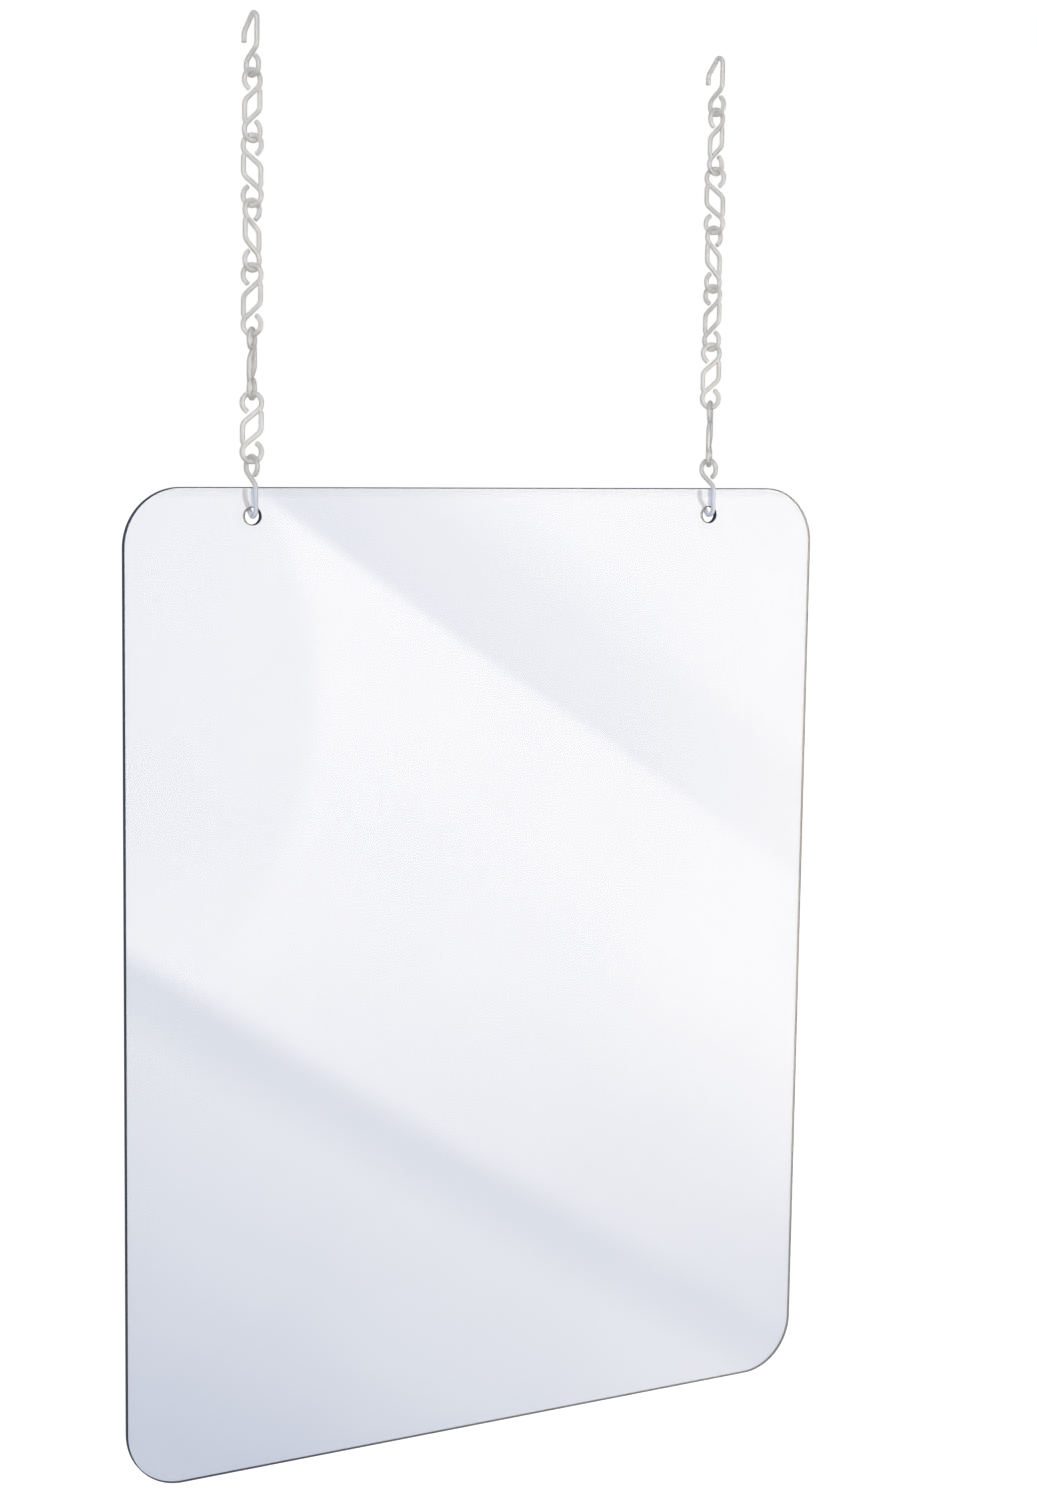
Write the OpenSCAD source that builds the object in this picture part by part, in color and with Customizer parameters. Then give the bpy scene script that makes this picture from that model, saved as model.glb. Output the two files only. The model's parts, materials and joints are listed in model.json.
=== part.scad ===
// Hanging sneeze guard: a clear rounded panel on two chains of plastic open links.
// +X runs along the panel to the right, -Y faces the customer and +Z points up.
// The origin is midway between the two ceiling hooks, at the height where they hang.
// Every contact of a chain lies on one plumb line, and so does the middle of the panel.

/* [Panel] */
// Width of the clear panel
panel_w = 610; // [450:10:900]
// Height of the clear panel
panel_h = 762; // [400:2:1000]
// Thickness of the clear panel
panel_t = 4.5; // [3:0.5:4.5]
// Radius of the panel's corners
corner_r = 45; // [10:1:90]
// Diameter of the two hanging holes
hole_d = 12.7; // [12:0.1:16]
// Distance from each side edge to the axis of its hole
hole_inset = 102; // [60:1:180]
// Distance from the top edge to the axes of the holes
hole_drop = 21.5; // [18:0.1:21.5]

/* [Chain] */
// Number of links between the two hooks of each chain
links_per_chain = 6; // [2:1:12]
// Overall length of a link
link_l = 54.5; // [52:0.5:60]
// Thickness of the round plastic of links and hooks
wire_d = 3.7; // [3.2:0.1:3.8]
// Outer diameter of the open loops at the ends
loop_d = 18.2; // [17:0.1:20]
// Outer width across the two straight arms of a link
body_w = 17.6; // [16.5:0.1:19]
// Angle from each loop round to its free end
loop_open = 240; // [230:1:244]
// Slope of the crossing bar that leaves each loop
bar_slope = 40; // [36:1:44]

/* [Hooks] */
// Outer width across the arm and the free end of an end hook
hook_w = 18.8; // [18.6:0.1:20]
// How far the hook's body is set over, so that its load hangs under its loop
hook_shift = 2.3; // [1.8:0.1:2.6]
// Height of the end hook's bend above the middle of the piece
bend_top = 19; // [18.5:0.1:22]
// Slope of the hook's back below the bend
back_slope = 52; // [50:1:54]
// How far the hook's free end reaches below the middle of the piece
tip_drop = 1; // [0:0.1:6]

/* [Hidden] */
SIDES = ["left", "right"];

$fn = 48;
wire_r = wire_d / 2;
loop_r = loop_d / 2 - wire_r;        // centre line of a loop
arm_x = body_w / 2 - wire_r;         // centre line of a straight arm
loop_y = link_l / 2 - wire_r - loop_r; // centre of a loop, from the middle of the piece
contact_gap = 0.25;                  // clearance between two plastic pieces that hang on each other
overlap = 0.15;                      // how far each stretch runs into the next one
step = 0.01;                         // how much thinner it is there, so that its end stays inside
bar_r = wire_r - 2 * step;           // straight stretches
arm_end_r = wire_r - 0.06;           // the arms taper a little towards the bar that they join
tip_chamfer = 0.7;                   // bevel round the free ends
bar_bend_r = 7;                      // bend from the crossing bar into an arm
merge_r = 3.7;                       // bend of an arm's end into the neighbouring bar
merge_turn = 70;                     // turn of that bend
merge_lift = 0.2;                    // how far above the start of its own bar an arm's bend runs
shoulder_r = 4.6;                    // wide part of the hook's bend
peak_r = 2.3;                        // tight part of the hook's bend
shoulder_turn = 75;                  // turn of the wide part
peak_overlap = 3;                    // how far the tight part runs back into the wide part
back_bend_r = 8;                     // bend above the hook's free end

// The crossing bar leaves its loop at bar_start and would meet the arm's line at its corner.
// The arm stands at -reach, and starts below the bend that follows the bar.
bar_start = [loop_r * sin(bar_slope), loop_y - loop_r * cos(bar_slope)];
bar_dir = [-cos(bar_slope), -sin(bar_slope)];
bar_setback = bar_bend_r * tan((90 - bar_slope) / 2);
function bar_corner(reach) = bar_start + (bar_start.x + reach) / cos(bar_slope) * bar_dir;
function arm_start(reach) = bar_corner(reach) - [0, bar_setback];
arm_end_y = bar_start.y + merge_lift - merge_r * sin(merge_turn);

// The hook's bend is two arcs, then the back runs down to the line of the free end.
hook_arm_x = hook_w / 2 - wire_r - hook_shift;
hook_tip_x = -hook_w / 2 + wire_r - hook_shift;
shoulder_c = [
    hook_arm_x - shoulder_r,
    bend_top - (shoulder_r - peak_r) * sin(shoulder_turn) - peak_r
];
peak_c = shoulder_c + (shoulder_r - peak_r) * [cos(shoulder_turn), sin(shoulder_turn)];
back_start = peak_c + peak_r * [-sin(back_slope), cos(back_slope)];
back_dir = [-cos(back_slope), -sin(back_slope)];
back_corner = back_start + (back_start.x - hook_tip_x) / cos(back_slope) * back_dir;
back_setback = back_bend_r * tan((90 - back_slope) / 2);
tip_start = back_corner - [0, back_setback];

// Heights of the pieces' middles along the plumb line.
seat_y = 12.5;                       // from a hook's middle to the edge of what lies in its bend
half_reach = loop_y + loop_r;        // from the middle to a loop's outermost centre line
pitch = 2 * half_reach - wire_d - contact_gap;
function link_z(i) = -seat_y - i * pitch;
ceiling_hook_z = link_z(0);
panel_hook_z = link_z(links_per_chain + 1);
hole_z = panel_hook_z - seat_y - hole_d / 2;
panel_top_z = hole_z + hole_drop;
panel_y = -0.45;                     // the panel's middle plane, where it lies in both hooks

// Turn of each piece about the plumb line. Neighbours cross at 60 degrees or more.
CEILING_HOOK_TURN = [-75, -75];
LINK_TURNS = [
    [14, 133, 200, -48, 50, -17],
    [14, 128, 190, -70, -10, 50]
];
PANEL_HOOK_TURN = [-78, -70];

function side_x(side) = (side == 0 ? -1 : 1) * (panel_w / 2 - hole_inset);
function link_turn(side, i) = LINK_TURNS[side][(i - 1) % len(LINK_TURNS[side])];

// A straight stretch of round plastic from a to b, in the drawing plane.
module bar(a, b, r1 = bar_r, r2 = bar_r) {
    along = b - a;
    translate([a.x, a.y, 0])
        rotate([0, 90, atan2(along.y, along.x)])
            translate([0, 0, -overlap])
                cylinder(h = norm(along) + 2 * overlap, r1 = r1, r2 = r2);
}

// A bend of round plastic about c, from angle a0 to angle a1.
module bend(c, radius, a0, a1, r = wire_r) {
    translate([c.x, c.y, 0])
        rotate([0, 0, a0])
            rotate_extrude(angle = a1 - a0)
                translate([radius, 0])
                    circle(r);
}

// A bevelled free end at p, pointing along the heading.
module tip(p, heading) {
    translate([p.x, p.y, 0])
        rotate([0, 90, heading])
            rotate_extrude()
                polygon([
                    [0, -overlap],
                    [bar_r, -overlap],
                    [bar_r, 0],
                    [wire_r - tip_chamfer, tip_chamfer],
                    [0, tip_chamfer]
                ]);
}

// An open loop with the crossing bar that leaves it and the bar's bend into the arm at -reach.
module loop_and_bar(reach) {
    bend([0, loop_y], loop_r, bar_slope - 90, loop_open);
    tip([loop_r * cos(loop_open), loop_y + loop_r * sin(loop_open)], loop_open + 90);
    bar(bar_start, bar_corner(reach) - bar_setback * bar_dir);
    bend(arm_start(reach) + [bar_bend_r, 0], bar_bend_r, 90 + bar_slope, 180);
}

// Half of a link: the other half is the same, turned half round.
module half_link() {
    arm_end = [-arm_x, -arm_end_y];
    loop_and_bar(arm_x);
    bar(arm_start(arm_x), arm_end, bar_r, arm_end_r - step);
    bend(arm_end + [merge_r, 0], merge_r, 180, 180 + merge_turn, arm_end_r);
}

module link_shape() {
    half_link();
    rotate([0, 0, 180]) half_link();
}

// The end hook: a loop below, one arm, a pointed bend and a free end.
module hook_shape() {
    rotate([0, 0, 180]) loop_and_bar(hook_arm_x);
    bar(-arm_start(hook_arm_x), [hook_arm_x, shoulder_c.y]);
    bend(shoulder_c, shoulder_r, 0, shoulder_turn);
    bend(peak_c, peak_r, shoulder_turn - peak_overlap, 90 + back_slope, wire_r - step);
    bar(back_start, back_corner - back_setback * back_dir);
    bend(tip_start + [back_bend_r, 0], back_bend_r, 90 + back_slope, 180);
    bar(tip_start, [hook_tip_x, -tip_drop]);
}

// Stands a drawing up on one chain's plumb line, at height z and turned about that line.
module hang(side, z, turn) {
    translate([side_x(side), 0, z])
        rotate([90, 0, turn])
            children();
}

module ceiling_hook(side) {
    color("gainsboro")
        hang(side, ceiling_hook_z, CEILING_HOOK_TURN[side])
            hook_shape();
}

module chain_link(side, i) {
    color("whitesmoke")
        hang(side, link_z(i), link_turn(side, i))
            link_shape();
}

// The same hook as at the ceiling, upside down and turned round.
module panel_hook(side) {
    color("gainsboro")
        hang(side, panel_hook_z, PANEL_HOOK_TURN[side] + 180)
            rotate([0, 0, 180])
                hook_shape();
}

module panel_outline() {
    across = panel_w / 2 - corner_r;
    up = panel_h / 2 - corner_r;
    square([panel_w, panel_h - 2 * corner_r], center = true);
    square([panel_w - 2 * corner_r, panel_h], center = true);
    for (x = [-across, across], y = [-up, up])
        translate([x, y]) circle(corner_r, $fn = 128);
}

module panel() {
    color("lightsteelblue", 0.4)
        difference() {
            translate([0, panel_y + panel_t / 2, panel_top_z - panel_h / 2])
                rotate([90, 0, 0])
                    linear_extrude(panel_t)
                        panel_outline();
            for (side = [0, 1])
                translate([side_x(side), panel_t, hole_z])
                    rotate([90, 0, 0])
                        cylinder(h = 2 * panel_t, d = hole_d, $fn = 96);
        }
}

panel();
for (side = [0, 1]) {
    ceiling_hook(side);
    panel_hook(side);
    for (i = [1:links_per_chain])
        chain_link(side, i);
}
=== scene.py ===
"""Looks of a hanging sneeze guard: a clear acrylic panel on two chains of moulded plastic links."""

import json
import math

import bmesh
import bpy
from mathutils import Matrix, Vector


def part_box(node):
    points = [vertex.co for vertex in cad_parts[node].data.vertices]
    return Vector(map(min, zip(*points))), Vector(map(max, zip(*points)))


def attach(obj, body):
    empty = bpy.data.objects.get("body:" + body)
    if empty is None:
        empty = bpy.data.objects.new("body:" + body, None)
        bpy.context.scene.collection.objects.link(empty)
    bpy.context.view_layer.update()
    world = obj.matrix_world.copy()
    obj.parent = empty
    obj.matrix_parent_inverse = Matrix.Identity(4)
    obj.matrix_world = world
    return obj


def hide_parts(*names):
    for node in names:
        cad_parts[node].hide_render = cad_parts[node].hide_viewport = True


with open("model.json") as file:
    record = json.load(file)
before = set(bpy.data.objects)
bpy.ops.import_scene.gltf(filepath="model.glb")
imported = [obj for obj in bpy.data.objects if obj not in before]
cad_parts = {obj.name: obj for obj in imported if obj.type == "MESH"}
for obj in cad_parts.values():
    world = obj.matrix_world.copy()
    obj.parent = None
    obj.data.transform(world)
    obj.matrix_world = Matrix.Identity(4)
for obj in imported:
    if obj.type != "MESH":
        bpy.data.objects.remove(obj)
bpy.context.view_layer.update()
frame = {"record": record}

MM = 0.001
SIDES = ("left", "right")
LINKS = 6  # in each chain

# Round plastic of the links and hooks, in millimetres, drawn flat with x to the right and y up.
CAD_WIRE_R = 1.85
WIRE_R = 1.83  # a little less, which leaves room for the parting line's ridge
LOOP_R = 7.25
LOOP_Y = 18.15
LOOP_OPEN = 240
BAR_SLOPE = 40
BAR_BEND_R = 7
ARM_X = 6.95
MERGE_R = 3.7
MERGE_TURN = 70
MERGE_LIFT = 0.2
HOOK_ARM_X = 5.25
HOOK_TIP_X = -9.85
SHOULDER_R = 4.6
SHOULDER_TURN = 75
PEAK_R = 2.3
BEND_TOP = 19
BACK_SLOPE = 52
BACK_BEND_R = 8
TIP_DROP = 1
HOOK_REACH = LOOP_Y + LOOP_R + CAD_WIRE_R  # from a hook's middle to the outside of its loop

# Turn of each piece about its chain's plumb line, in degrees.
CEILING_HOOK_TURN = (-75, -75)
LINK_TURNS = ((14, 133, 200, -48, 50, -17), (14, 128, 190, -70, -10, 50))
PANEL_HOOK_TURN = (-78, -70)

# How the moulding is rounded and where its two mould halves meet.
ARC_STEP = 6  # degrees between the rings of a bend
SIDE_START, SIDE_STEP = 20, 14  # degrees of the first point past a ridge, and between points
SEAM_TOP = 2.5  # half width of the parting line, in degrees round the wire
SEAM_FOOT = 6.0
SEAM_RISE = 0.06
LOOP_END_DOME = 1.0  # how far each end is rounded out, in millimetres
HOOK_END_DOME = 0.35
ARM_END_DOME = 0.1  # lies inside the bar that it joins
DOME_STEPS = 5
DOME_TIP = 0.02  # the dome's last ring, as a share of the wire
WELD = 0.00001  # points closer than this are one
SHARP_ANGLE = 50  # between faces, in degrees

# The panel, in millimetres.
CORNER_R = 45
HOLE_R = 6.35
HOLE_DROP = 21.5
ARRIS = 0.7  # rounding of the outline's edges
# The dark line round the holes is painted shade, from the dark colour painted on their walls.
HOLE_ARRIS = 0.65  # and of the holes' mouths, which shows as a dark line round them
ARRIS_STEPS = 4
CORNER_STEPS = 32


# ---------------------------------------------------------------- mesh helpers

def unit(angle):
    """The flat direction at this angle in degrees."""
    return Vector((math.cos(math.radians(angle)), math.sin(math.radians(angle))))


def arc(centre, radius, start, end):
    """(point, heading) pairs round an arc from start to end, in degrees."""
    steps = max(2, round(abs(end - start) / ARC_STEP))
    way = 1 if end > start else -1
    pairs = []
    for i in range(steps + 1):
        angle = start + (end - start) * i / steps
        pairs.append((Vector(centre) + radius * unit(angle), way * unit(angle + 90)))
    return pairs


def bar_to_arm(reach):
    """The start of the arm at -reach, below the bend that the crossing bar makes into it."""
    start = Vector((0, LOOP_Y)) + LOOP_R * unit(BAR_SLOPE - 90)
    along = -unit(BAR_SLOPE)
    corner = start + (start.x + reach) / math.cos(math.radians(BAR_SLOPE)) * along
    setback = BAR_BEND_R * math.tan(math.radians(90 - BAR_SLOPE) / 2)
    return corner - Vector((0, setback))


def loop_and_bar(reach):
    """From the loop's free end, round the loop and along the crossing bar to the arm at -reach."""
    arm_start = bar_to_arm(reach)
    path = arc((0, LOOP_Y), LOOP_R, LOOP_OPEN, BAR_SLOPE - 90)
    path += arc(arm_start + Vector((BAR_BEND_R, 0)), BAR_BEND_R, 90 + BAR_SLOPE, 180)
    return path


def half_link_path():
    """One half of a link. The arm's end bends into the other half's crossing bar."""
    bar_start_y = LOOP_Y - LOOP_R * math.cos(math.radians(BAR_SLOPE))
    arm_end_y = bar_start_y + MERGE_LIFT - MERGE_R * math.sin(math.radians(MERGE_TURN))
    path = loop_and_bar(ARM_X)
    path += arc((MERGE_R - ARM_X, -arm_end_y), MERGE_R, 180, 180 + MERGE_TURN)
    return path


def hook_path():
    """The end hook from its loop, up one arm, over the pointed bend and down to the free end."""
    path = [(-p, -h) for p, h in loop_and_bar(HOOK_ARM_X)]
    lift = BEND_TOP - (SHOULDER_R - PEAK_R) * math.sin(math.radians(SHOULDER_TURN)) - PEAK_R
    shoulder = Vector((HOOK_ARM_X - SHOULDER_R, lift))
    peak = shoulder + (SHOULDER_R - PEAK_R) * unit(SHOULDER_TURN)
    back_start = peak + PEAK_R * unit(90 + BACK_SLOPE)
    along = -unit(BACK_SLOPE)
    run = (back_start.x - HOOK_TIP_X) / math.cos(math.radians(BACK_SLOPE))
    setback = BACK_BEND_R * math.tan(math.radians(90 - BACK_SLOPE) / 2)
    tip_start = back_start + run * along - Vector((0, setback))
    path += arc(shoulder, SHOULDER_R, 0, SHOULDER_TURN)
    path += arc(peak, PEAK_R, SHOULDER_TURN, 90 + BACK_SLOPE)
    path += arc(tip_start + Vector((BACK_BEND_R, 0)), BACK_BEND_R, 90 + BACK_SLOPE, 180)
    path.append((Vector((HOOK_TIP_X, -TIP_DROP)), Vector((0, -1))))
    return path


def wire_section():
    """(across, up) points round the wire, with the low ridge of the parting line on both sides."""
    points = []
    for half in (0, 180):
        ridge = ((-SEAM_FOOT, 0), (-SEAM_TOP, SEAM_RISE), (SEAM_TOP, SEAM_RISE), (SEAM_FOOT, 0))
        points += [(WIRE_R + rise) * unit(half + angle) for angle, rise in ridge]
        flank = range(SIDE_START, 181 - SIDE_START, SIDE_STEP)
        points += [WIRE_R * unit(half + angle) for angle in flank]
    return points


def domed(path, dome_start, dome_end):
    """(point, heading, scale) rings along the path, with a rounded end before and after it."""
    rings = []
    for i in range(DOME_STEPS):
        rise = math.cos(math.pi / 2 * i / DOME_STEPS)
        scale = max(DOME_TIP, math.sqrt(1 - rise**2))
        point, heading = path[0]
        rings.append((point - heading * dome_start * rise, heading, scale))
    rings += [(point, heading, 1) for point, heading in path]
    for i in range(1, DOME_STEPS + 1):
        rise = math.sin(math.pi / 2 * i / DOME_STEPS)
        scale = max(DOME_TIP, math.sqrt(max(0, 1 - rise**2)))
        point, heading = path[-1]
        rings.append((point + heading * dome_end * rise, heading, scale))
    return rings


def swept(name, path, dome_start, dome_end, half_turn=False):
    """A closed mesh of round wire along a flat path, in metres.

    The mesh's x and z are the drawing's x and y. half_turn turns it half round in that plane.
    """
    section = wire_section()
    flip = -1 if half_turn else 1
    build = bmesh.new()
    rings = []
    for point, heading, scale in domed(path, dome_start, dome_end):
        across = Vector((-heading.y, heading.x))
        ring = []
        for s in section:
            flat = flip * (point + across * s.x * scale)
            ring.append(build.verts.new((flat.x * MM, -s.y * scale * MM, flat.y * MM)))
        rings.append(ring)
    for a, b in zip(rings, rings[1:]):
        for i in range(len(section)):
            j = (i + 1) % len(section)
            build.faces.new((a[i], a[j], b[j], b[i]))
    build.faces.new(list(reversed(rings[0])))
    build.faces.new(rings[-1])
    bmesh.ops.remove_doubles(build, verts=build.verts, dist=WELD * MM)
    bmesh.ops.recalc_face_normals(build, faces=build.faces)
    mesh = bpy.data.meshes.new(name)
    build.to_mesh(mesh)
    build.free()
    return mesh


def united(name, first, second):
    """The union of two closed meshes."""
    base = bpy.data.objects.new(name + "_base", first)
    other = bpy.data.objects.new(name + "_other", second)
    for o in (base, other):
        bpy.context.scene.collection.objects.link(o)
    union = base.modifiers.new("union", "BOOLEAN")
    union.operation = "UNION"
    union.solver = "EXACT"
    union.object = other
    bpy.context.view_layer.update()
    evaluated = base.evaluated_get(bpy.context.evaluated_depsgraph_get())
    mesh = bpy.data.meshes.new_from_object(evaluated)
    mesh.name = name
    for o in (base, other):
        bpy.data.objects.remove(o)
    return mesh


def finished(mesh, material):
    """The mesh, smooth apart from its sharp edges, with its material."""
    mesh.shade_smooth()
    mesh.set_sharp_from_angle(angle=math.radians(SHARP_ANGLE))
    mesh.materials.append(material)
    return mesh


def link_mesh(material):
    path = half_link_path()
    first = swept("link_half", path, LOOP_END_DOME, ARM_END_DOME)
    second = swept("link_half", path, LOOP_END_DOME, ARM_END_DOME, half_turn=True)
    return finished(united("link", first, second), material)


def hook_mesh(material):
    return finished(swept("hook", hook_path(), LOOP_END_DOME, HOOK_END_DOME), material)


def rounded_outline(width, height, inset):
    """Points round the panel's outline, moved in by inset, in metres."""
    radius = (CORNER_R - inset) * MM
    points = []
    for quarter, (sx, sz) in enumerate(((1, 1), (-1, 1), (-1, -1), (1, -1))):
        centre = Vector((sx * (width / 2 - CORNER_R * MM), sz * (height / 2 - CORNER_R * MM)))
        for i in range(CORNER_STEPS + 1):
            points.append(centre + radius * unit(90 * quarter + 90 * i / CORNER_STEPS))
    return points


def hole_outline(centre, inset):
    """Points round a hanging hole, widened by inset, in metres."""
    radius = (HOLE_R + inset) * MM
    steps = 2 * CORNER_STEPS
    return [centre + radius * unit(360 * i / steps) for i in range(steps)]


def panel_mesh(low, high, hole_x, hole_z):
    """The sheet with rounded arrises.

    Slot 0 is its faces, 1 its outline's edge and 2 the walls of the holes.
    """
    size = high - low
    middle = (low + high) / 2
    build = bmesh.new()
    outlines = [(1, ARRIS, lambda inset: rounded_outline(size.x, size.z, inset))]
    for side in (-1, 1):
        centre = Vector((side * hole_x - middle.x, hole_z - middle.z))
        outlines.append((2, HOLE_ARRIS, lambda inset, centre=centre: hole_outline(centre, inset)))
    face_edges = {0: [], 1: []}
    for slot, arris, outline in outlines:
        rings = []
        for back in (0, 1):
            steps = range(ARRIS_STEPS + 1)
            for i in (reversed(steps) if back else steps):
                bend = math.radians(90 * i / ARRIS_STEPS)
                points = outline(arris * (1 - math.sin(bend)))
                sink = arris * MM * (1 - math.cos(bend))
                y = high.y - sink if back else low.y + sink
                rings.append([build.verts.new((p.x + middle.x, y, p.y + middle.z)) for p in points])
        for a, b in zip(rings, rings[1:]):
            for i in range(len(a)):
                j = (i + 1) % len(a)
                face = build.faces.new((a[i], a[j], b[j], b[i]))
                face.material_index = slot
                face.smooth = True
        for back, ring in ((0, rings[0]), (1, rings[-1])):
            for i in range(len(ring)):
                face_edges[back].append(build.edges.get((ring[i], ring[(i + 1) % len(ring)])))
    for back in (0, 1):
        bmesh.ops.triangle_fill(build, use_beauty=True, use_dissolve=False, edges=face_edges[back])
    bmesh.ops.recalc_face_normals(build, faces=build.faces)
    mesh = bpy.data.meshes.new("panel_sheet")
    build.to_mesh(mesh)
    build.free()
    return mesh


# ---------------------------------------------------------------- materials

def new_material(name):
    material = bpy.data.materials.new(name)
    material.use_nodes = True
    tree = material.node_tree
    return material, tree, tree.nodes["Principled BSDF"]


def add(tree, kind, inputs=(), **settings):
    """A node with its settings and its inputs, which are numbers, colours or other nodes' outputs."""
    made = tree.nodes.new(kind)
    for key, value in settings.items():
        setattr(made, key, value)
    for key, value in dict(inputs).items():
        if isinstance(value, bpy.types.NodeSocket):
            tree.links.new(value, made.inputs[key])
        else:
            made.inputs[key].default_value = value
    return made


def spread(tree, value, low, high, from_low=0.0, from_high=1.0):
    """value moved from one range to another."""
    made = add(tree, "ShaderNodeMapRange", {
        "Value": value, "From Min": from_low, "From Max": from_high, "To Min": low, "To Max": high,
    })
    return made.outputs["Result"]


def mixed(tree, factor, a, b):
    made = add(tree, "ShaderNodeMix", {"Factor": factor}, data_type="RGBA")
    for socket, value in (("A", a), ("B", b)):
        target = next(i for i in made.inputs if i.name == socket and i.type == "RGBA")
        if isinstance(value, bpy.types.NodeSocket):
            tree.links.new(value, target)
        else:
            target.default_value = (*value, 1)
    return next(o for o in made.outputs if o.type == "RGBA")


def noise(tree, vector, scale, detail=2.0, roughness=0.5):
    made = add(tree, "ShaderNodeTexNoise", {
        "Vector": vector, "Scale": scale, "Detail": detail, "Roughness": roughness,
    })
    return made.outputs["Fac"]


def math_node(tree, operation, *inputs):
    return add(tree, "ShaderNodeMath", dict(enumerate(inputs)), operation=operation).outputs[0]


def bumped(tree, height, strength, distance, normal=None):
    """A relief of this height, in metres, on the plain surface or on another relief."""
    inputs = {"Strength": strength, "Distance": distance, "Height": height}
    if normal:
        inputs["Normal"] = normal
    return add(tree, "ShaderNodeBump", inputs).outputs[0]


# The plastic. Every noise's scale, here and for the sheet, is in waves per metre.
CLOUD_SCALE = 110
RIPPLE_SCALE = 260
GRAIN_SCALE = 1800
SEAM_COLOUR = (0.93, 0.93, 0.92)
SEAM_SHARE = 0.5  # how much of that colour the parting line has
SEAM_FULL, SEAM_END = 0.12 * MM, 0.4 * MM  # from the parting plane

# Where the painted blue starts and is full along a panel hook, up from its middle: a painted tint that
# stands in for the sheet's blue in the light reaching the hook through the sheet.
PAINTED_SHEET_BLUE_FROM = -4.5 * MM
PAINTED_SHEET_BLUE_FULL = -1.5 * MM
PAINTED_SHEET_BLUE_LIGHT = (0.90, 0.92, 1.0)
PAINTED_SHEET_BLUE_DEEP = (0.80, 0.82, 0.93)


def plastic(name, light, deep, painted_sheet_blue=False):
    """Translucent moulded plastic: cloudy inside, a fine mould grain and a paler parting line.

    A painted blue on the part of a panel hook that lies against the sheet stands in for the sheet's
    blue in the light that reaches it through the sheet.
    """
    material, tree, shader = new_material(name)
    place = add(tree, "ShaderNodeTexCoord").outputs["Object"]
    chance = add(tree, "ShaderNodeObjectInfo").outputs["Random"]
    moved = add(tree, "ShaderNodeVectorMath", {0: place, 1: chance}, operation="ADD").outputs[0]
    cloud = noise(tree, moved, CLOUD_SCALE, detail=3)
    tone = mixed(tree, spread(tree, cloud, 0, 1, from_low=0.3, from_high=0.7), deep, light)
    parts = add(tree, "ShaderNodeSeparateXYZ", {0: place})
    if painted_sheet_blue:
        # painted tint: the sheet's blue, painted on the hook by its height
        sheet_blue_share = spread(tree, parts.outputs["Z"], 0, 1, PAINTED_SHEET_BLUE_FROM, PAINTED_SHEET_BLUE_FULL)
        tone = mixed(tree, sheet_blue_share, tone, mixed(tree, cloud, PAINTED_SHEET_BLUE_DEEP, PAINTED_SHEET_BLUE_LIGHT))
    off_seam = math_node(tree, "ABSOLUTE", parts.outputs["Y"])
    seam = spread(tree, off_seam, SEAM_SHARE, 0, SEAM_FULL, SEAM_END)
    tree.links.new(mixed(tree, seam, tone, SEAM_COLOUR), shader.inputs["Base Color"])
    grain = noise(tree, moved, GRAIN_SCALE, detail=4, roughness=0.6)
    tree.links.new(spread(tree, grain, low=0.30, high=0.46), shader.inputs["Roughness"])
    ripple = noise(tree, moved, RIPPLE_SCALE)
    relief = bumped(tree, grain, strength=0.15, distance=0.04 * MM)
    relief = bumped(tree, ripple, strength=0.2, distance=0.2 * MM, normal=relief)
    tree.links.new(relief, shader.inputs["Normal"])
    shader.inputs["IOR"].default_value = 1.52
    shader.inputs["Transmission Weight"].default_value = 0.45
    shader.inputs["Subsurface Weight"].default_value = 0.3
    shader.inputs["Subsurface Radius"].default_value = (1.0, 0.95, 0.88)
    shader.inputs["Subsurface Scale"].default_value = 1.6 * MM
    return material


ACRYLIC_IOR = 1.49
DRILLED_IOR = 1.02  # the drilled walls are matt, so from inside the sheet too they show only their painted dark shade
FACE_TONES = ((0.605, 0.648, 0.745), (0.627, 0.667, 0.758))
# Both edge tones are painted shade, the dark of the clear sheet seen edge-on; the tool marks only
# choose between them.
EDGE_PAINTED_SHADE_TONES = ((0.035, 0.048, 0.08), (0.085, 0.105, 0.155))
STREAK_TURN = 35  # of the hairline scratches, in degrees
STREAK_SCALE = 60
HAZE_SCALE = 4
WAVE_SCALE = 3


def acrylic_face():
    """Clear sheet: faint blue body, hairline scratches and a wipe haze that only change the gloss."""
    material, tree, shader = new_material("acrylic_face")
    place = add(tree, "ShaderNodeTexCoord").outputs["Object"]
    along = add(tree, "ShaderNodeMapping", {
        "Vector": place, "Rotation": (0, math.radians(STREAK_TURN), 0), "Scale": (1, 1, 14),
    })
    streaks = noise(tree, along.outputs[0], STREAK_SCALE, detail=5, roughness=0.65)
    haze = noise(tree, place, HAZE_SCALE, detail=3)
    worn = math_node(tree, "MULTIPLY", streaks, haze)
    gloss = spread(tree, worn, low=0.006, high=0.04, from_low=0.15, from_high=0.42)
    tree.links.new(gloss, shader.inputs["Roughness"])
    tone = mixed(tree, spread(tree, haze, 0, 1, from_low=0.35, from_high=0.65), *FACE_TONES)
    tree.links.new(tone, shader.inputs["Base Color"])
    wave = noise(tree, place, WAVE_SCALE, detail=1)
    tree.links.new(bumped(tree, wave, strength=0.35, distance=2 * MM), shader.inputs["Normal"])
    shader.inputs["IOR"].default_value = ACRYLIC_IOR
    shader.inputs["Transmission Weight"].default_value = 0.86
    shader.inputs["Specular IOR Level"].default_value = 0.9
    return material


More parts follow.
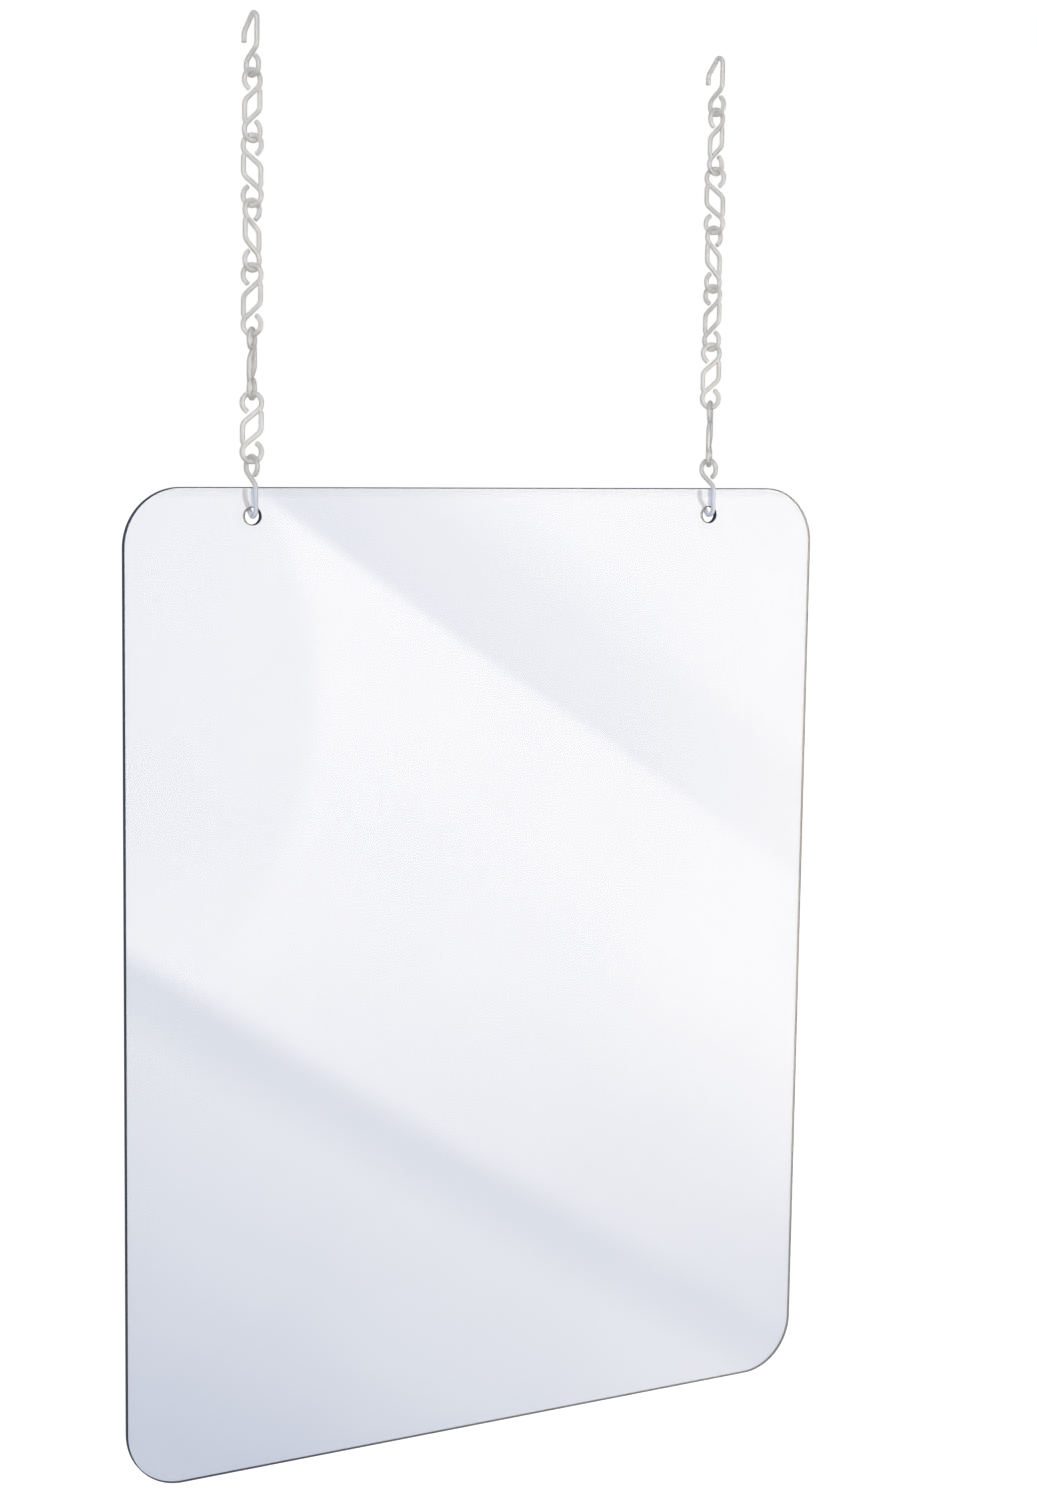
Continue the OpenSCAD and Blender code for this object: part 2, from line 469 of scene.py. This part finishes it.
def acrylic_edge(name, marks_scale, ior):
    """The sheet seen down its length, with the marks of scraper or drill; its dark slate blue is
    painted shade, the look of the clear sheet edge-on.
    """
    material, tree, shader = new_material(name)
    place = add(tree, "ShaderNodeTexCoord").outputs["Object"]
    across = add(tree, "ShaderNodeMapping", {"Vector": place, "Scale": (1, 12, 1)})
    marks = noise(tree, across.outputs[0], marks_scale, detail=4, roughness=0.6)
    # painted shade of the sheet seen edge-on, varied by the real tool marks
    tree.links.new(mixed(tree, marks, *EDGE_PAINTED_SHADE_TONES), shader.inputs["Base Color"])
    tree.links.new(spread(tree, marks, low=0.12, high=0.34), shader.inputs["Roughness"])
    relief = bumped(tree, marks, strength=0.2, distance=0.08 * MM)
    tree.links.new(relief, shader.inputs["Normal"])
    shader.inputs["IOR"].default_value = ior
    shader.inputs["Specular IOR Level"].default_value = 0.25
    return material


# ---------------------------------------------------------------- the object

def turned(angle, axis):
    return Matrix.Rotation(math.radians(angle), 4, axis)


def in_scene(name, data):
    """A new object in the scene."""
    made = bpy.data.objects.new(name, data)
    bpy.context.scene.collection.objects.link(made)
    return made


def placed(node, mesh, where, turn, upside_down=False):
    """One moulded piece on its plumb line, standing for its CAD node."""
    piece = in_scene("moulded_" + node, mesh)
    flip = Matrix.Rotation(math.pi, 4, "Y") if upside_down else Matrix.Identity(4)
    piece.matrix_world = Matrix.Translation(where) @ turned(turn, "Z") @ flip
    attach(piece, body_of_node(node))
    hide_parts(node)


def body_of_node(node):
    return next(b for b, nodes in frame["record"]["behaviour"]["bodies"].items() if node in nodes)


def middle_of(node):
    low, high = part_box(node)
    return (low + high) / 2


LINK_TONES = ((0.86, 0.85, 0.83), (0.76, 0.75, 0.735))
HOOK_TONES = ((0.84, 0.83, 0.81), (0.74, 0.73, 0.715))


def build_chains():
    """Both chains, each piece turned about its chain's plumb line."""
    link = link_mesh(plastic("link_plastic", *LINK_TONES))
    ceiling_hook = hook_mesh(plastic("hook_plastic", *HOOK_TONES))
    # the panel hooks carry a painted tint of the sheet's blue where they lie against the sheet
    panel_hook = hook_mesh(plastic("hook_plastic_sheet_blue_painted", *HOOK_TONES, painted_sheet_blue=True))
    for s, side in enumerate(SIDES):
        line = middle_of(f"{side}_link_1")
        for i in range(LINKS):
            node = f"{side}_link_{i + 1}"
            placed(node, link, middle_of(node), LINK_TURNS[s][i])
        node = f"{side}_ceiling_hook"
        where = Vector((line.x, line.y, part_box(node)[0].z + HOOK_REACH * MM))
        placed(node, ceiling_hook, where, CEILING_HOOK_TURN[s])
        node = f"{side}_panel_hook"
        where = Vector((line.x, line.y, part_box(node)[1].z - HOOK_REACH * MM))
        placed(node, panel_hook, where, PANEL_HOOK_TURN[s] + 180, upside_down=True)


def build_panel():
    """The sheet, with its holes on the chains' plumb lines. Gives its box."""
    low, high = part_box("panel")
    hole_x = middle_of("right_link_1").x
    mesh = panel_mesh(low, high, hole_x, high.z - HOLE_DROP * MM)
    mesh.materials.append(acrylic_face())
    # the outline's edge and the hole walls are painted in the dark shade of the sheet seen edge-on
    mesh.materials.append(acrylic_edge("polished_edge_painted_shade", marks_scale=240, ior=ACRYLIC_IOR))
    mesh.materials.append(acrylic_edge("drilled_wall_painted_shade", marks_scale=700, ior=DRILLED_IOR))
    panel = in_scene("acrylic_sheet", mesh)
    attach(panel, body_of_node("panel"))
    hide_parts("panel")
    return low, high


# ---------------------------------------------------------------- the studio

FILL_COLOUR = (0.20, 0.21, 0.235)
WHITE = (1, 1, 1)


def seen_directly(tree):
    """1 where the camera sees the surroundings, plainly or through the sheet, and 0 elsewhere."""
    path = add(tree, "ShaderNodeLightPath")
    seen, through = path.outputs["Is Camera Ray"], path.outputs["Is Transmission Ray"]
    return math_node(tree, "MAXIMUM", seen, through)


def studio_world():
    """White behind the object, and a dimmer, cooler fill on it."""
    world = bpy.data.worlds.new("studio")
    bpy.context.scene.world = world
    world.use_nodes = True
    tree = world.node_tree
    colour = mixed(tree, seen_directly(tree), FILL_COLOUR, WHITE)
    tree.links.new(colour, tree.nodes["Background"].inputs["Color"])


FLOOR_REACH = 60  # half width, in metres
FLOOR_DROP = 0.9  # below the panel
FLOOR_COLOUR = (0.35, 0.35, 0.36)
FLOOR_FILL, FLOOR_SEEN = 0.25, 1.0  # how strongly it glows on the object, and to the camera


def studio_floor(low):
    """A wide pale floor well below the hanging panel."""
    mesh = bpy.data.meshes.new("floor")
    z = low.z - FLOOR_DROP
    corners = [(x * FLOOR_REACH, y * FLOOR_REACH, z) for x, y in ((-1, -1), (1, -1), (1, 1), (-1, 1))]
    mesh.from_pydata(corners, [], [(0, 1, 2, 3)])
    floor = in_scene("floor", mesh)
    material, tree, shader = new_material("pale_floor")
    shader.inputs["Base Color"].default_value = (*FLOOR_COLOUR, 1)
    shader.inputs["Roughness"].default_value = 0.9
    shader.inputs["Specular IOR Level"].default_value = 0.1
    shader.inputs["Emission Color"].default_value = (*WHITE, 1)
    glow = spread(tree, seen_directly(tree), FLOOR_FILL, FLOOR_SEEN)
    tree.links.new(glow, shader.inputs["Emission Strength"])
    mesh.materials.append(material)


def softbox(name, where, aim, size, power):
    """A soft rectangular lamp, in metres and watts, that the camera doesn't see."""
    lamp = bpy.data.lights.new(name, "AREA")
    lamp.shape = "RECTANGLE"
    lamp.size, lamp.size_y = size
    lamp.energy = power
    light = in_scene(name, lamp)
    light.location = where
    light.rotation_euler = (Vector(aim) - Vector(where)).to_track_quat("-Z", "Y").to_euler()
    light.visible_camera = False
    light.visible_transmission = False


# The camera stands left of the panel and above its middle, in metres, degrees and millimetres of lens.
CAMERA_FROM_PANEL = Vector((-0.980, -1.801, 0.424))
CAMERA_YAW = 29.23
CAMERA_PITCH = -6.94
CAMERA_ROLL = 0.81
CAMERA_LENS = 62.55


def build_camera(centre):
    """The scene's camera. Gives where it stands."""
    data = bpy.data.cameras.new("camera")
    data.sensor_width = 36
    data.lens = CAMERA_LENS
    data.clip_start, data.clip_end = 0.05, 200
    camera = in_scene("camera", data)
    where = centre + CAMERA_FROM_PANEL
    aim = turned(-CAMERA_YAW, "Z") @ turned(90 + CAMERA_PITCH, "X") @ turned(CAMERA_ROLL, "Z")
    camera.matrix_world = Matrix.Translation(where) @ aim
    bpy.context.scene.camera = camera
    return where


CARD_AHEAD = 1.2  # of the panel, in metres
CARD_WIDE, CARD_HIGH = 0.75, 0.68  # half sizes, as shares of what the panel mirrors there
CARD_TINT = (1.0, 0.885, 0.685)

# The card's brightness across slanting bands, as (metres from its middle line, brightness) pairs.
BAND_SLOPE = 0.64
CARD_PEAK = 9
CARD_GLOW = (
    (-0.86, 0.2), (-0.70, 1.9), (-0.60, 3.1), (-0.38, 4.7), (-0.33, 3.6), (-0.285, 3.4), (-0.25, 5.7),
    (0.00, 7.6), (0.20, 8.5), (0.405, 8.4), (0.42, 5.9), (0.54, 6.3), (0.67, 8.5),
)
# How much brighter each band gets per metre to the right.
TILT_PEAK = 4
CARD_TILT = (
    (-0.29, 0.0), (-0.25, -3.5), (-0.12, -3.3), (0.05, -1.2), (0.15, 0.0),
    (0.405, 0.0), (0.43, 4.0), (0.60, 2.5), (0.67, 0.0),
)
# Left of a curtain's bowed edge the card is no brighter than this.
CURTAIN_GLOW = 7.0
CURTAIN_TOP = 0.37  # height at which the edge stands furthest right
CURTAIN_BOW = 1.2
CURTAIN_EDGE = -0.25
CURTAIN_SOFT = 0.02


def banded(tree, slant, bands, low, high):
    """A brightness that changes across the bands, from (distance, value) pairs."""
    ramp = add(tree, "ShaderNodeValToRGB", {"Fac": spread(tree, slant, 0, 1, -1, 1)})
    stops = ramp.color_ramp.elements
    while len(stops) < len(bands):
        stops.new(0.5)
    for stop, (distance, value) in zip(stops, bands):
        stop.position = (distance + 1) / 2
        stop.color = ((value - low) / (high - low),) * 3 + (1,)
    return spread(tree, ramp.outputs["Color"], low, high)


def card_glow(tree):
    """The card's brightness: slanting bands, dimmer behind the curtain on the left."""
    parts = add(tree, "ShaderNodeSeparateXYZ", {0: add(tree, "ShaderNodeTexCoord").outputs["Object"]})
    x, z = parts.outputs["X"], parts.outputs["Z"]
    slant = math_node(tree, "MULTIPLY_ADD", x, BAND_SLOPE, z)
    level = banded(tree, slant, CARD_GLOW, 0, CARD_PEAK)
    tilt = banded(tree, slant, CARD_TILT, -TILT_PEAK, TILT_PEAK)
    bright = math_node(tree, "MULTIPLY_ADD", tilt, x, level)
    bulge = math_node(tree, "POWER", math_node(tree, "SUBTRACT", z, CURTAIN_TOP), 2)
    past = math_node(tree, "MULTIPLY_ADD", bulge, CURTAIN_BOW, x)
    open_side = add(tree, "ShaderNodeMapRange", {
        "Value": past, "From Min": CURTAIN_EDGE - CURTAIN_SOFT, "From Max": CURTAIN_EDGE + CURTAIN_SOFT,
    }, interpolation_type="SMOOTHSTEP").outputs["Result"]
    return spread(tree, open_side, math_node(tree, "MINIMUM", bright, CURTAIN_GLOW), bright)


def reflection_card(camera_at, low, high):
    """A big soft card in front of the panel, where the sheet mirrors it like a room's window."""
    centre = (low + high) / 2
    mirrored = Vector((camera_at.x, -camera_at.y, camera_at.z))
    scale = (mirrored.y + CARD_AHEAD) / mirrored.y
    where = mirrored + (centre - mirrored) * scale
    half_w = (high.x - low.x) * scale * CARD_WIDE
    half_h = (high.z - low.z) * scale * CARD_HIGH
    mesh = bpy.data.meshes.new("card")
    corners = [(-half_w, 0, -half_h), (half_w, 0, -half_h), (half_w, 0, half_h), (-half_w, 0, half_h)]
    mesh.from_pydata(corners, [], [(0, 1, 2, 3)])
    card = in_scene("card", mesh)
    card.location = (where.x, -CARD_AHEAD, where.z)
    material = bpy.data.materials.new("card_light")
    material.use_nodes = True
    tree = material.node_tree
    tree.nodes.clear()
    light = add(tree, "ShaderNodeEmission", {"Color": (*CARD_TINT, 1), "Strength": card_glow(tree)})
    add(tree, "ShaderNodeOutputMaterial", {"Surface": light.outputs[0]}).is_active_output = True
    mesh.materials.append(material)
    card.visible_camera = False
    card.visible_diffuse = False
    card.visible_transmission = False
    card.visible_shadow = False


build_chains()
panel_low, panel_high = build_panel()
camera_at = build_camera((panel_low + panel_high) / 2)
studio_world()
studio_floor(panel_low)
reflection_card(camera_at, panel_low, panel_high)
softbox("front_key", where=(-1.5, -2.4, 0.7), aim=(0, 0, -0.4), size=(1.4, 1.4), power=50)
softbox("top_fill", where=(0.6, -0.6, 1.6), aim=(0, 0, -0.5), size=(1.6, 1.0), power=6)
bpy.context.scene.view_settings.view_transform = "Standard"
